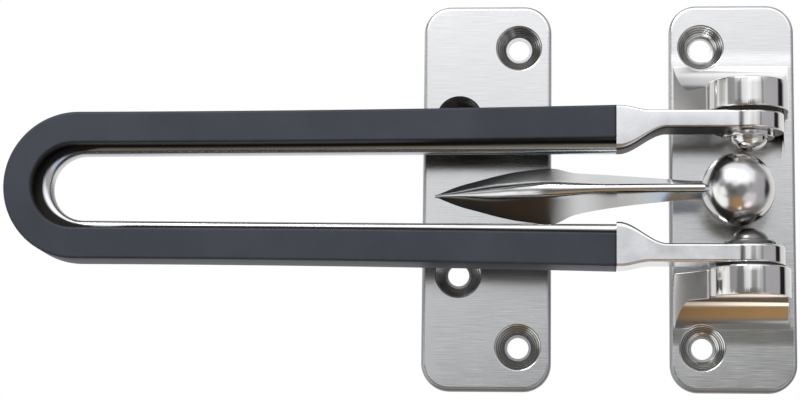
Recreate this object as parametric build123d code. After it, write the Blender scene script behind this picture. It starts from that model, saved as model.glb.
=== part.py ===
from build123d import *
from math import cos, radians, sin, sqrt
import os

# A swing-bar door guard, in millimetres. X runs along the bar, Z is up, and the viewer looks along +Y.
# The backs of both plates lie on Y = 0. The hinge axis is the upright line X = 0, Y = -hinge_height.
# A height is a distance from the plates' backs towards the viewer.

# One overrun serves every cut, so that a cutter always passes its faces
overrun = 1.0

# Plates
plate_thickness = 3.0
plate_height = 77.2
plate_corner_radius = 5.5
plate_edge_round = 0.8
frame_plate_width = 24.7
frame_plate_reach = 9.6
door_plate_width = 25.5
plate_gap = 23.3

# Screw holes, countersunk at 45 degrees to the face, with a flat lip at the foot of each countersink
screw_hole_radius = 2.1
screw_hole_lip = 0.5
countersink_radius = 4.65
outer_screw_end_inset = 8.6
inner_screw_pitch = 31.3
frame_screw_inset = 6.3
door_outer_screw_inset = 6.5
door_inner_screw_inset = 7.2

# Hinge: the eyes of the bar turn on two headed pins, each held in a lug of the frame plate
hinge_height = 11.2
eye_radius = 6.8
eye_inner = 11.2
eye_thickness = 3.6
pin_radius = 2.5
pin_running_clearance = 0.05
pin_bore_depth = 4.0
pin_end_clearance = 0.2
head_radius = 5.0
head_flange_thickness = 1.0
head_dome_radius = 3.7
head_dome_height = 2.7
head_dome_middle_degrees = 52.0
washer_thickness = 0.5
washer_rim_inset = 0.3
axial_clearance = 0.05

# Lugs: a drum that stands a little proud of the eyes, a slope on the door side and a concave ramp
# at the outer end
lug_rim_margin = 1.05
lug_thickness = 5.75
lug_slope_rise = 6.4
lug_slope_fillet = 1.4
lug_flare_radius = 0.85
# The slope, flare and ramp end this far below the plate's face, so that they meet it at an angle
lug_foot_sink = 0.1
lug_edge_round = 0.3
ramp_radius = 10.0
ramp_run = 6.5

# Swing bar: a U of steel with a bull-nosed inner edge, and two necks that end in the eyes.
# Half widths are given at the tip's arc, at the middle of the legs and at the sleeve's end.
bar_reach = 145.2
bar_middle_reach = 68.7
sleeve_end_reach = 25.7
sleeve_outer_half = (14.5, 14.95, 15.7)
slot_half = (6.5, 6.85, 7.0)
slot_tip_setback = 0.9
core_thickness = 5.0
core_back_height = 9.4
core_nose_round = 2.3
neck_front_height = 17.65
neck_bend_reach = 16.0
neck_shoulder_length = 0.8
neck_taper_length = 6.5
neck_edge_round = 0.5

# Rubber sleeve: covers the core's front and outer side, with a lip behind it
sleeve_front_wall = 3.4
sleeve_side_wall = 1.6
sleeve_lip_thickness = 1.2
sleeve_lip_width = 3.2
sleeve_ledge = 2.3
sleeve_edge_round = 0.5

# Ball, and the arm that carries it from the door plate
ball_radius = 7.15
ball_height = 11.9
ball_offset = 2.2
spigot_radius = 1.3
spigot_length = 4.0
arm_tip_reach = 61.4
arm_neck_half = 1.85
arm_spine_height = 14.9
arm_root_half = 5.6
arm_tip_half = 0.55
arm_nose_radius = 0.95
arm_nose_degrees = 62.0

# Screws that hold the arm, driven from behind the door plate
arm_screw_radius = 1.5
arm_screw_head_radius = 3.0
arm_screw_grip = 2.6
arm_screw_reach = (48.7, 41.7)

# Places worked out from the sizes above
frame_left = frame_plate_reach - frame_plate_width
door_right = frame_left - plate_gap
door_left = door_right - door_plate_width
outer_screw_pitch = plate_height - 2 * outer_screw_end_inset
eye_outer = eye_inner + eye_thickness
lug_radius = eye_radius + lug_rim_margin
lug_inner = eye_outer + axial_clearance + washer_thickness
lug_outer = lug_inner + lug_thickness
core_front_height = core_back_height + core_thickness
sleeve_front_height = core_front_height + sleeve_front_wall
sleeve_back_height = core_back_height - sleeve_lip_thickness
tip_centre = bar_reach - sleeve_outer_half[0]
arm_root_reach = -door_right


def widened(halves, step):
    return tuple(half + step for half in halves)


core_outer_half = widened(sleeve_outer_half, -sleeve_side_wall)
sleeve_inner_half = widened(slot_half, sleeve_ledge)
lip_inner_half = widened(core_outer_half, -sleeve_lip_width)


def slab(outline, low, high):
    # An outline drawn in X and Z, extruded towards the viewer between two heights
    return extrude(Plane.XZ.offset(low) * outline, amount=high - low)


def upright(radius, low, high):
    # A cylinder on the hinge axis between two levels of Z
    return Pos(0, -hinge_height, (low + high) / 2) * Cylinder(radius, high - low)


def mirrored(shape):
    # The same piece below the centre line
    return mirror(shape, about=Plane.XY)


def plate_blank(left, width):
    outline = Pos(left + width / 2, 0) * RectangleRounded(width, plate_height, plate_corner_radius)
    blank = slab(outline, 0, plate_thickness)
    front_edges = blank.faces().sort_by(Axis.Y)[0].edges()
    return fillet(front_edges, plate_edge_round)


def countersunk(x, z, hole_radius, sink_radius, lip=0, from_front=True):
    # A through hole and a 45 degree countersink, as one cutter
    sink_depth = sink_radius - hole_radius - lip
    hole = Cylinder(hole_radius, plate_thickness + 2 * overrun)
    sink = Cone(hole_radius + lip, sink_radius + overrun, sink_depth + overrun)
    sink_middle = (plate_thickness + overrun - sink_depth) / 2
    turn = 90 if from_front else -90
    return Location((x, -plate_thickness / 2, z), (turn, 0, 0)) * (hole + Pos(0, 0, sink_middle) * sink)


def screw_pair(x, pitch):
    holes = [
        countersunk(x, side * pitch / 2, screw_hole_radius, countersink_radius, screw_hole_lip)
        for side in (1, -1)
    ]
    return holes[0] + holes[1]


def lug_outline():
    # Seen along the hinge axis: slope, fillet, drum, and a flare down to the plate's far edge
    slope_top = plate_thickness + lug_slope_rise
    foot = plate_thickness - lug_foot_sink
    foot_start = frame_left + plate_edge_round
    foot_end = frame_plate_reach - plate_edge_round
    drum_top = (0, -(hinge_height + lug_radius))
    near = (-lug_radius, -hinge_height)
    far = (lug_radius, -hinge_height)
    rim = [
        Line((foot_start, 0), (foot_start, -foot)),
        Line((foot_start, -foot), (-lug_radius, -slope_top)),
        Line((-lug_radius, -slope_top), near),
        ThreePointArc(near, drum_top, far),
        Line(far, (lug_radius, -foot)),
        Line((lug_radius, -foot), (foot_end, -foot)),
        Line((foot_end, -foot), (foot_end, 0)),
        Line((foot_end, 0), (foot_start, 0)),
    ]
    outline = make_face(rim)
    slope_corner = outline.vertices().sort_by_distance((-lug_radius, -slope_top, 0))[0]
    outline = fillet(slope_corner, lug_slope_fillet)
    flare_corner = outline.vertices().sort_by_distance((lug_radius, -foot, 0))[0]
    return fillet(flare_corner, lug_flare_radius)


def ramp_cutter():
    # Everything outside the lug's end wall and above its concave ramp, along the plate's whole width.
    # The ramp is an arc, level with the plate at its foot.
    foot = lug_foot_sink - plate_thickness
    ramp_end = lug_outer + ramp_run
    centre = foot - ramp_radius
    ramp_top = centre + sqrt(ramp_radius ** 2 - ramp_run ** 2)
    bend = (centre + sqrt(ramp_radius ** 2 - (ramp_run / 2) ** 2), lug_outer + ramp_run / 2)
    clear = -(hinge_height + lug_radius + overrun)
    rim = [
        ThreePointArc((ramp_top, lug_outer), bend, (foot, ramp_end)),
        Line((foot, ramp_end), (foot, ramp_end + overrun)),
        Line((foot, ramp_end + overrun), (clear, ramp_end + overrun)),
        Line((clear, ramp_end + overrun), (clear, lug_outer)),
        Line((clear, lug_outer), (ramp_top, lug_outer)),
    ]
    section = Plane.YZ.offset(frame_left - overrun) * make_face(rim)
    return extrude(section, amount=frame_plate_width + 2 * overrun)


def drum_rims(body):
    # The two rims of the drum, at the lug's inner face and at the top of its outer wall
    above = plate_thickness + lug_slope_rise
    rims = []
    for edge in body.edges():
        middle = edge.position_at(0.5)
        at_rim = min(abs(middle.Z - lug_inner), abs(middle.Z - lug_outer)) < lug_edge_round / 2
        if at_rim and -middle.Y > above:
            rims.append(edge)
    return rims


def lug():
    body = extrude(Plane.XY.offset(lug_inner) * lug_outline(), amount=lug_thickness + ramp_run)
    body = body - ramp_cutter()
    body = fillet(drum_rims(body), lug_edge_round)
    return body - upright(pin_radius, lug_inner - overrun, lug_inner + pin_bore_depth)


def frame_plate():
    upper_lug = lug()
    body = plate_blank(frame_left, frame_plate_width) + upper_lug + mirrored(upper_lug)
    return body - screw_pair(frame_left + frame_screw_inset, outer_screw_pitch)


def hinge_pin():
    # A flanged dome against the eye's inner face, and a shank that ends short of its blind bore
    seat = eye_inner - axial_clearance
    dome_base = seat - head_flange_thickness
    dome_top = dome_base - head_dome_height
    shank_end = lug_inner + pin_bore_depth - pin_end_clearance
    turn = radians(head_dome_middle_degrees)
    dome_middle = (head_dome_radius * sin(turn), dome_base - head_dome_height * cos(turn))
    rim = [
        ThreePointArc((0, dome_top), dome_middle, (head_dome_radius, dome_base)),
        Line((head_dome_radius, dome_base), (head_radius, dome_base)),
        Line((head_radius, dome_base), (head_radius, seat)),
        Line((head_radius, seat), (pin_radius, seat)),
        Line((pin_radius, seat), (pin_radius, shank_end)),
        Line((pin_radius, shank_end), (0, shank_end)),
        Line((0, shank_end), (0, dome_top)),
    ]
    turned = revolve(Plane.XZ * make_face(rim), axis=Axis.Z)
    return Pos(0, -hinge_height, 0) * turned


def friction_washer():
    low = lug_inner - washer_thickness
    bore = upright(pin_radius + pin_running_clearance, low - overrun, lug_inner + overrun)
    return upright(eye_radius - washer_rim_inset, low, lug_inner) - bore


def u_outline(halves, centre):
    # A filled U: gently bowed legs from the sleeve's end to the tip's half circle about a centre's reach
    tip_half, middle_half, end_half = halves
    upper_end = (-sleeve_end_reach, end_half)
    upper_tip = (-centre, tip_half)
    lower_tip = (-centre, -tip_half)
    lower_end = (-sleeve_end_reach, -end_half)
    rim = [
        ThreePointArc(upper_end, (-bar_middle_reach, middle_half), upper_tip),
        ThreePointArc(upper_tip, (-centre - tip_half, 0), lower_tip),
        ThreePointArc(lower_tip, (-bar_middle_reach, -middle_half), lower_end),
        Line(lower_end, upper_end),
    ]
    return make_face(rim)


def u_ring(outer_halves, inner_halves, low, high, inner_centre=tip_centre):
    outer = slab(u_outline(outer_halves, tip_centre), low, high)
    return outer - slab(u_outline(inner_halves, inner_centre), low - overrun, high + overrun)


def neck_outline():
    # One neck from the sleeve's end to the hinge axis, with the inner edge's bend away from the slot
    shoulder = -sleeve_end_reach + neck_shoulder_length
    taper_end = -sleeve_end_reach + neck_taper_length
    outer_half = sleeve_outer_half[2]
    inner_half = slot_half[2]
    bend_start = -sleeve_end_reach + neck_shoulder_length / 2
    rim = [
        Line((-sleeve_end_reach, inner_half), (-sleeve_end_reach, outer_half)),
        Line((-sleeve_end_reach, outer_half), (shoulder, outer_half)),
        Spline([(shoulder, outer_half), (taper_end, eye_outer)], tangents=[(1, 0), (1, 0)]),
        Line((taper_end, eye_outer), (0, eye_outer)),
        Line((0, eye_outer), (0, eye_inner)),
        Line((0, eye_inner), (-neck_bend_reach, eye_inner)),
        Spline([(-neck_bend_reach, eye_inner), (bend_start, inner_half)], tangents=[(-1, 0), (-1, 0)]),
        Line((bend_start, inner_half), (-sleeve_end_reach, inner_half)),
    ]
    return make_face(rim)


def rounded_front(neck):
    # The long edges of a neck's front face, eased
    front = neck.faces().sort_by(Axis.Y)[0]
    long_edges = []
    for edge in front.edges():
        along = edge.tangent_at(0.5)
        if abs(along.X) > abs(along.Z):
            long_edges.append(edge)
    return fillet(long_edges, neck_edge_round)


def slot_edges(core):
    # The edges along the slot, front and back, and not those along the core's outer side
    chosen = []
    for edge in core.edges():
        middle = edge.position_at(0.5)
        beside = abs(middle.Z) < (slot_half[2] + core_outer_half[0]) / 2 and middle.X > -tip_centre
        reach = sqrt((middle.X + tip_centre) ** 2 + middle.Z ** 2)
        around = middle.X < -tip_centre and reach < (slot_half[0] + core_outer_half[0]) / 2
        if edge.length > core_thickness + overrun and (beside or around):
            chosen.append(edge)
    return chosen


def neck():
    body = rounded_front(slab(neck_outline(), core_back_height, neck_front_height))
    body = body + upright(eye_radius, eye_inner, eye_outer)
    return body - upright(pin_radius + pin_running_clearance, eye_inner - overrun, eye_outer + overrun)


def swing_bar():
    slot_centre = tip_centre - slot_tip_setback
    core = u_ring(core_outer_half, slot_half, core_back_height, core_front_height, slot_centre)
    core = fillet(slot_edges(core), core_nose_round)
    upper_neck = neck()
    return core + upper_neck + mirrored(upper_neck)


def rubber_sleeve():
    front = u_ring(sleeve_outer_half, sleeve_inner_half, core_front_height, sleeve_front_height)
    front = fillet(front.faces().sort_by(Axis.Y)[0].edges(), sleeve_edge_round)
    side = u_ring(sleeve_outer_half, core_outer_half, core_back_height, core_front_height)
    lip = u_ring(sleeve_outer_half, lip_inner_half, sleeve_back_height, core_back_height)
    return front + side + lip


def door_plate():
    body = plate_blank(door_left, door_plate_width)
    body = body - screw_pair(door_right - door_outer_screw_inset, outer_screw_pitch)
    body = body - screw_pair(door_left + door_inner_screw_inset, inner_screw_pitch)
    for reach in arm_screw_reach:
        body = body - countersunk(-reach, 0, arm_screw_radius, arm_screw_head_radius, from_front=False)
    return body


def arm_section(reach, half, back, spine):
    # A roof with a rounded ridge: flat back, two flanks and a nose arc, in the plane at X = -reach
    turn = radians(arm_nose_degrees)
    centre = -(spine - arm_nose_radius)
    flank = arm_nose_radius * sin(turn)
    flank_level = centre - arm_nose_radius * cos(turn)
    rim = [
        Line((-back, -half), (-back, half)),
        Line((-back, half), (flank_level, flank)),
        ThreePointArc((flank_level, flank), (-spine, 0), (flank_level, -flank)),
        Line((flank_level, -flank), (-back, -half)),
    ]
    return Plane.YZ.offset(-reach) * make_face(rim)


def ball_arm():
    # Shares run from the tip to the plate's edge, then from the edge to the ball
    foot_length = arm_tip_reach - arm_root_reach
    neck_length = arm_root_reach - ball_offset
    foot_half = arm_root_half - arm_tip_half
    foot_height = arm_spine_height - plate_thickness - arm_nose_radius
    foot_shares = ((0, 0, 0.05), (0.21, 0.34, 0.23), (0.39, 0.52, 0.37), (0.56, 0.70, 0.50),
                   (0.73, 0.88, 0.64), (1, 1, 0.81))
    foot = [
        arm_section(arm_tip_reach - foot_length * along, arm_tip_half + foot_half * wide, plate_thickness,
                    plate_thickness + arm_nose_radius + foot_height * high)
        for along, wide, high in foot_shares
    ]
    root_spine = plate_thickness + arm_nose_radius + foot_height * foot_shares[-1][2]
    neck_back = arm_spine_height - 2 * arm_neck_half
    neck_shares = ((0, 1, 0, 0), (0.13, 0.62, 0.38, 0.3), (0.3, 0.4, 0.72, 0.6), (0.55, 0.16, 0.94, 0.88),
                   (0.78, 0, 1, 1), (1, 0, 1, 1))
    widening = arm_root_half - arm_neck_half
    neck = [
        arm_section(arm_root_reach - neck_length * along, arm_neck_half + widening * wide,
                    plate_thickness + (neck_back - plate_thickness) * lift,
                    root_spine + (arm_spine_height - root_spine) * high)
        for along, wide, lift, high in neck_shares
    ]
    arm = loft(foot) + loft(neck)
    arm = arm - Pos(-ball_offset, -ball_height, 0) * Sphere(ball_radius)
    arm = arm + spigot()
    for reach in arm_screw_reach:
        arm = arm - arm_screw(reach)
    return arm


def spigot_level():
    # The arm's neck meets the ball along the middle of the neck
    return arm_spine_height - arm_neck_half


def spigot():
    lift = spigot_level() - ball_height
    ball_edge = ball_offset + sqrt(ball_radius ** 2 - lift ** 2)
    start = ball_edge + arm_neck_half
    length = spigot_length + arm_neck_half
    return Location((-start + length / 2, -spigot_level(), 0), (0, 90, 0)) * Cylinder(spigot_radius, length)


def guard_ball():
    return Pos(-ball_offset, -ball_height, 0) * Sphere(ball_radius) - spigot()


def arm_screw(reach):
    # Countersunk head flush with the plate's back, shank into the arm's foot
    sink_depth = arm_screw_head_radius - arm_screw_radius
    shank_length = plate_thickness + arm_screw_grip
    head = Pos(0, 0, sink_depth / 2) * Cone(arm_screw_head_radius, arm_screw_radius, sink_depth)
    shank = Pos(0, 0, shank_length / 2) * Cylinder(arm_screw_radius, shank_length)
    return Location((-reach, 0, 0), (90, 0, 0)) * (head + shank)


def arm_screws():
    screws = [arm_screw(reach) for reach in arm_screw_reach]
    return Compound(children=screws)


def write_parts():
    os.makedirs("parts", exist_ok=True)
    nodes = {
        "frame_plate": frame_plate(),
        "upper_hinge_pin": hinge_pin(),
        "lower_hinge_pin": mirrored(hinge_pin()),
        "upper_washer": friction_washer(),
        "lower_washer": mirrored(friction_washer()),
        "swing_bar": swing_bar(),
        "rubber_sleeve": rubber_sleeve(),
        "door_plate": door_plate(),
        "ball_arm": ball_arm(),
        "guard_ball": guard_ball(),
        "arm_screws": arm_screws(),
    }
    for name, shape in nodes.items():
        export_step(shape, "parts/" + name + ".step")
        print(name, round(shape.volume, 1), "mm3")


write_parts()
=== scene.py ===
from math import radians

import bmesh
import bpy
import numpy as np
from mathutils import Matrix, Vector


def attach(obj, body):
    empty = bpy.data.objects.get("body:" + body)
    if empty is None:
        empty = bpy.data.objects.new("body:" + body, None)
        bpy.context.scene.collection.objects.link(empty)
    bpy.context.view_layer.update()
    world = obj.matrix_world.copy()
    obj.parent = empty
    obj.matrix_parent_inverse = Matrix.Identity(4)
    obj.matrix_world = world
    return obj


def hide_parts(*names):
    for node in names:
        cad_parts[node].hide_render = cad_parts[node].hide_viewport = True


# Swing-bar door guard. X runs along the folded bar, Z is up, and the viewer looks along +Y.
# Lengths are in millimetres until makePiece turns them into metres.
# A height is a distance from the plates' backs towards the viewer, so Y is minus the height.

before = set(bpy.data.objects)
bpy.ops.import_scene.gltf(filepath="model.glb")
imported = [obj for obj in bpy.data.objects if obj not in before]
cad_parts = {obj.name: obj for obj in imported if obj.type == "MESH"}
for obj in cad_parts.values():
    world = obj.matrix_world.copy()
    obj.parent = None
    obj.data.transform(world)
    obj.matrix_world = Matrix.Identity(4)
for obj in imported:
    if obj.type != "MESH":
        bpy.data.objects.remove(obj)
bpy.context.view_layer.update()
mm = 0.001
# Vertices nearer to each other than this are merged
weld = 0.002 * mm


def newObject(name, data):
    # An object in the scene
    item = bpy.data.objects.new(name, data)
    bpy.context.scene.collection.objects.link(item)
    return item


# Meshes from grids

def gridFaces(rows, columns):
    # Quads between neighbouring rows and columns, where the last column joins the first
    row, column = np.meshgrid(np.arange(rows - 1), np.arange(columns), indexing="ij")
    nextColumn = (column + 1) % columns
    corners = [row * columns + column, (row + 1) * columns + column,
               (row + 1) * columns + nextColumn, row * columns + nextColumn]
    return np.stack([corner.ravel() for corner in corners], axis=1).tolist()


def sweptFaces(rows, columns):
    # A closed profile of so many columns carried through so many rows, with a face over each end
    ends = [list(range(columns)), list(range((rows - 1) * columns, rows * columns))]
    return gridFaces(rows, columns) + ends


def merged(mesh, new=False):
    # Merges doubles; a new mesh also loses its empty faces and gets its normals turned outwards
    work = bmesh.new()
    work.from_mesh(mesh)
    bmesh.ops.remove_doubles(work, verts=work.verts, dist=weld)
    if new:
        bmesh.ops.dissolve_degenerate(work, edges=work.edges, dist=weld / 2)
        bmesh.ops.recalc_face_normals(work, faces=work.faces)
    work.to_mesh(mesh)
    work.free()
    return mesh


def makePiece(name, points, faces, *details, **more):
    # Points are X, height, Z in millimetres, and the details are what finishPiece takes after the mesh
    places = np.stack([points[:, 0], -points[:, 1], points[:, 2]], axis=1) * mm
    mesh = bpy.data.meshes.new(name)
    mesh.from_pydata(places.tolist(), [], faces)
    return finishPiece(name, merged(mesh, new=True), *details, **more)


def sweptPiece(name, x, height, z, *details, **more):
    # Each row of the grids X, height and Z is a closed profile at one place of its way
    points = np.stack(np.broadcast_arrays(x, height, z), axis=-1)
    return makePiece(name, points.reshape(-1, 3), sweptFaces(*points.shape[:2]), *details, **more)


def finishPiece(name, mesh, body, slotName, material, replaced=(), sharpAngle=35.0):
    # Smooth shading weighted by area, with every edge sharp that turns by over sharpAngle degrees
    piece = newObject(name, mesh)
    mesh.materials.clear()
    mesh.materials.append(material)
    mesh.polygons.foreach_set("use_smooth", np.ones(len(mesh.polygons), bool))
    mesh.set_sharp_from_angle(angle=radians(sharpAngle))
    weighted = piece.modifiers.new("evenShading", "WEIGHTED_NORMAL")
    weighted.keep_sharp = True
    weighted.weight = 100
    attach(piece, body)
    if replaced:
        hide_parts(*replaced)
    return piece


def vertexPlaces(mesh):
    # X, height and Z of every vertex, in millimetres
    places = np.empty(len(mesh.vertices) * 3)
    mesh.vertices.foreach_get("co", places)
    x, y, z = places.reshape(-1, 3).T / mm
    return x, -y, z


def writeValues(mesh, name, values):
    # One number per vertex, which the materials read by its name
    attribute = mesh.attributes.new(name, "FLOAT", "POINT")
    attribute.data.foreach_set("value", values.astype(np.float32))


def smoothStep(value):
    # 0 below 0, 1 above 1, and an S curve between
    held = np.clip(value, 0, 1)
    return held * held * (3 - 2 * held)


def between(start, end, share):
    # The value at this share of the way from start to end
    return start + (end - start) * share


def faceValues(mesh, name, size):
    # One measure of every face, as rows of so many numbers
    values = np.empty(len(mesh.polygons) * size)
    mesh.polygons.foreach_get(name, values)
    return values.reshape(-1, size)


def sharpRoundFlats(mesh, leastArea=18.0, normalSteps=200, offsetSteps=50, stepShift=0.2):
    # Faces that share one plane and together cover leastArea square millimetres are a flat face of the part.
    # The edges round it are marked sharp, so that its shading stays even.
    normals = faceValues(mesh, "normal", 3)
    offset = (normals * faceValues(mesh, "center", 3)).sum(axis=1) / mm
    key = np.concatenate([normals * normalSteps, offset[:, None] * offsetSteps], axis=1)
    # The part of a step that is added keeps round lengths away from the middle between two steps
    key = np.round(key + stepShift).astype(int)
    member = np.unique(key, axis=0, return_inverse=True)[1].reshape(-1)
    covered = np.bincount(member, weights=faceValues(mesh, "area", 1)[:, 0]) / mm ** 2
    flat = np.where(covered[member] > leastArea, member + 1, 0)
    cornerCount = np.empty(len(mesh.polygons), int)
    mesh.polygons.foreach_get("loop_total", cornerCount)
    flatOfLoop = np.repeat(flat, cornerCount)
    edgeOfLoop = np.empty(len(mesh.loops), int)
    mesh.loops.foreach_get("edge_index", edgeOfLoop)
    lowest = np.full(len(mesh.edges), np.iinfo(int).max)
    highest = np.full(len(mesh.edges), -1)
    np.minimum.at(lowest, edgeOfLoop, flatOfLoop)
    np.maximum.at(highest, edgeOfLoop, flatOfLoop)
    sharp = np.empty(len(mesh.edges), bool)
    mesh.edges.foreach_get("use_edge_sharp", sharp)
    mesh.edges.foreach_set("use_edge_sharp", sharp | (lowest != highest))


def mergedCopy(name, node, body, slotName, material, sharpAngle=28.0, finer=None):
    # The CAD node's triangles, merged into one skin that can be shaded smoothly
    mesh = merged(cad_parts[node].data.copy())
    if finer:
        finer(mesh)
    piece = finishPiece(name, mesh, body, slotName, material, (node,), sharpAngle)
    sharpRoundFlats(mesh)
    return piece


def turned(name, rim, axisPoint, axis, *details, steps=96, **more):
    # A rim of (radius, level) pairs turned about an axis along Z or X through axisPoint (X, height, Z)
    angle = np.linspace(0, 2 * np.pi, steps, endpoint=False)
    radius, level = np.array(rim, float).T
    across = radius[:, None] * np.cos(angle)
    lift = radius[:, None] * np.sin(angle)
    along = np.repeat(level[:, None], steps, axis=1)
    if axis == "Z":
        points = np.stack([axisPoint[0] + across, axisPoint[1] + lift, axisPoint[2] + along], axis=-1)
    else:
        points = np.stack([axisPoint[0] + along, axisPoint[1] + lift, axisPoint[2] + across], axis=-1)
    return makePiece(name, points.reshape(-1, 3), gridFaces(len(radius), steps), *details, **more)


def arcPoints(centre, radius, start, end, steps=8):
    # Points of an arc in a profile's plane, from one angle in degrees to another
    angle = np.radians(np.linspace(start, end, steps + 1))
    return np.stack([centre[0] + radius * np.cos(angle), centre[1] + radius * np.sin(angle)], axis=1)


# Materials

def newMaterial(name):
    # A new material and its node tree
    material = bpy.data.materials.new(name)
    material.use_nodes = True
    return material, material.node_tree


def plug(tree, value, socket):
    # A socket is linked, and a plain number, vector or colour is written in
    if isinstance(value, bpy.types.NodeSocket):
        tree.links.new(value, socket)
    else:
        socket.default_value = (*value, 1) if socket.type == "RGBA" else value


def surface(material, colour, rough, normal=None, metallic=1.0, specular=0.5):
    # The material with what its shader shows; each value can be a socket or plain
    tree = material.node_tree
    values = {"Base Color": colour, "Roughness": rough, "Metallic": metallic, "Specular IOR Level": specular}
    if normal is not None:
        values["Normal"] = normal
    for name, value in values.items():
        plug(tree, value, tree.nodes["Principled BSDF"].inputs[name])
    return material


def coordinates(tree, scale=(1, 1, 1)):
    # The piece's own coordinates in metres, times a scale for each axis
    place = tree.nodes.new("ShaderNodeTexCoord")
    mapping = tree.nodes.new("ShaderNodeMapping")
    mapping.inputs["Scale"].default_value = scale
    tree.links.new(place.outputs["Object"], mapping.inputs["Vector"])
    return mapping.outputs["Vector"]


def noise(tree, vector, scale, detail=4.0, roughness=0.55, output="Fac"):
    # Cloudy noise of about so many clouds to a unit of the vector, with finer ones laid over them
    texture = tree.nodes.new("ShaderNodeTexNoise")
    texture.inputs["Scale"].default_value = scale
    texture.inputs["Detail"].default_value = detail
    texture.inputs["Roughness"].default_value = roughness
    tree.links.new(vector, texture.inputs["Vector"])
    return texture.outputs[output]


def spread(tree, value, low, high, fromLow=0.3, fromHigh=0.7, way="LINEAR"):
    # A value between fromLow and fromHigh, carried over to the span from low to high and held there
    remap = tree.nodes.new("ShaderNodeMapRange")
    remap.interpolation_type = way
    for place, end in zip(("From Min", "From Max", "To Min", "To Max"), (fromLow, fromHigh, low, high)):
        remap.inputs[place].default_value = end
    tree.links.new(value, remap.inputs["Value"])
    return remap.outputs["Result"]


def tint(tree, value, look, fromLow=0.3, fromHigh=0.7):
    # The look's dark colour up to fromLow, its light colour from fromHigh, and a blend between
    ramp = tree.nodes.new("ShaderNodeValToRGB")
    for element, position, colour in zip(ramp.color_ramp.elements, (fromLow, fromHigh), ("dark", "light")):
        element.position = position
        element.color = (*look[colour], 1)
    tree.links.new(value, ramp.inputs["Fac"])
    return ramp.outputs["Color"]


def bump(tree, height, strength, distance, below=None):
    # The normal of a relief: its height times the distance in metres, laid over the relief below
    node = tree.nodes.new("ShaderNodeBump")
    node.inputs["Strength"].default_value = strength
    node.inputs["Distance"].default_value = distance
    tree.links.new(height, node.inputs["Height"])
    if below is not None:
        tree.links.new(below, node.inputs["Normal"])
    return node.outputs["Normal"]


def named(tree, name):
    # The number that writeValues left on the vertices; 0 where a piece has none
    reader = tree.nodes.new("ShaderNodeAttribute")
    reader.attribute_name = name
    return reader.outputs["Fac"]


def blend(tree, amount, first, second, way="MIX"):
    # Two colours mixed by an amount; each can be a socket or plain
    mix = tree.nodes.new("ShaderNodeMix")
    mix.data_type = "RGBA"
    mix.blend_type = way
    for place, value in ((0, amount), (6, first), (7, second)):
        plug(tree, value, mix.inputs[place])
    return mix.outputs[2]


def reckon(tree, operation, *values, kind="ShaderNodeMath", result="Value"):
    # One operation on numbers; each can be a socket or plain
    node = tree.nodes.new(kind)
    node.operation = operation
    for place, value in enumerate(values):
        plug(tree, value, node.inputs[place])
    return node.outputs[result]


def combine(tree, operation, *values):
    # The same on vectors
    result = "Value" if operation == "DOT_PRODUCT" else "Vector"
    return reckon(tree, operation, *values, kind="ShaderNodeVectorMath", result=result)


# The edge colour of satinLook is painted shade on the eased edges
satinLook = dict(
    dark=(0.58, 0.58, 0.58), light=(0.73, 0.73, 0.725), edge=(0.20, 0.22, 0.25), edgeShare=0.65,
    rough=(0.16, 0.27), cloudRough=0.03, edgeRough=0.4, cloudScale=60.0, stain=(0.93, 1.0),
    lineScale=(160, 3000, 9000), lineNoise=(1.0, 3.0, 0.6), lineBump=0.10, lineDepth=0.05 * mm,
    rampFoot=(25.4 * mm, 29.8 * mm), footRise=0.35 * mm, upperRise=0.3,
)
# In each look, the extra near-black colour is that of painted shade
neckLook = dict(
    dark=(0.69, 0.69, 0.70), light=(0.80, 0.80, 0.805), rough=(0.18, 0.28), paintedShade=(0.05, 0.044, 0.036),
    cloudScale=260.0, hairScale=(500, 4000, 9000), hairBump=0.05,
)
polishLook = dict(
    dark=(0.60, 0.59, 0.575), light=(0.70, 0.69, 0.675), rough=(0.05, 0.10), paintedShade=(0.020, 0.018, 0.015),
    cloudScale=90.0, hairScale=(300, 2500, 2500), hairBump=0.015,
)
# The cool colour of buffedLook is a painted reflection
buffedLook = dict(
    dark=(0.60, 0.605, 0.605), light=(0.68, 0.685, 0.685), rough=(0.14, 0.20), paintedShade=(0.020, 0.019, 0.018),
    cool=(0.36, 0.47, 0.62), cloudScale=90.0, hairScale=(300, 2500, 2500), hairBump=0.02,
)
ballLook = dict(
    dark=(0.60, 0.59, 0.585), light=(0.68, 0.67, 0.665), rough=(0.17, 0.21), paintedShade=(0.020, 0.018, 0.015),
    cloudScale=90.0, hairScale=(900, 900, 900), hairBump=0.01,
)
turnedLook = dict(
    dark=(0.28, 0.28, 0.27), light=(0.66, 0.66, 0.65), rough=(0.17, 0.25), ringsPerMillimetre=2.6,
    wobbleScale=300.0, wobble=0.6, ringBump=0.18, ringDepth=0.03 * mm,
    boreEdge=(2.62, 2.85), boreShade=0.25, outerEdge=(4.32, 4.65), edgeDrop=0.16 * mm,
)
screwLook = dict(dark=(0.40, 0.40, 0.39), light=(0.52, 0.52, 0.50), rough=(0.25, 0.40), mottleScale=700.0)
# The rubber's extra pale colour is a painted sheen, and its near-black one is painted shade
rubberLook = dict(
    dark=(0.014, 0.018, 0.025), light=(0.025, 0.030, 0.039), rough=(0.50, 0.64), specular=0.35,
    paintedSheen=(0.085, 0.09, 0.105), paintedShade=(0.002, 0.002, 0.003), cloudScale=70.0,
    grainNoise=(4200.0, 3.0, 0.7), grainBump=0.25, grainDepth=0.03 * mm,
)
nylonLook = dict(dark=(0.012, 0.012, 0.013), light=(0.022, 0.022, 0.023), rough=(0.5, 0.65),
                 mottleScale=2500.0)


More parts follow.
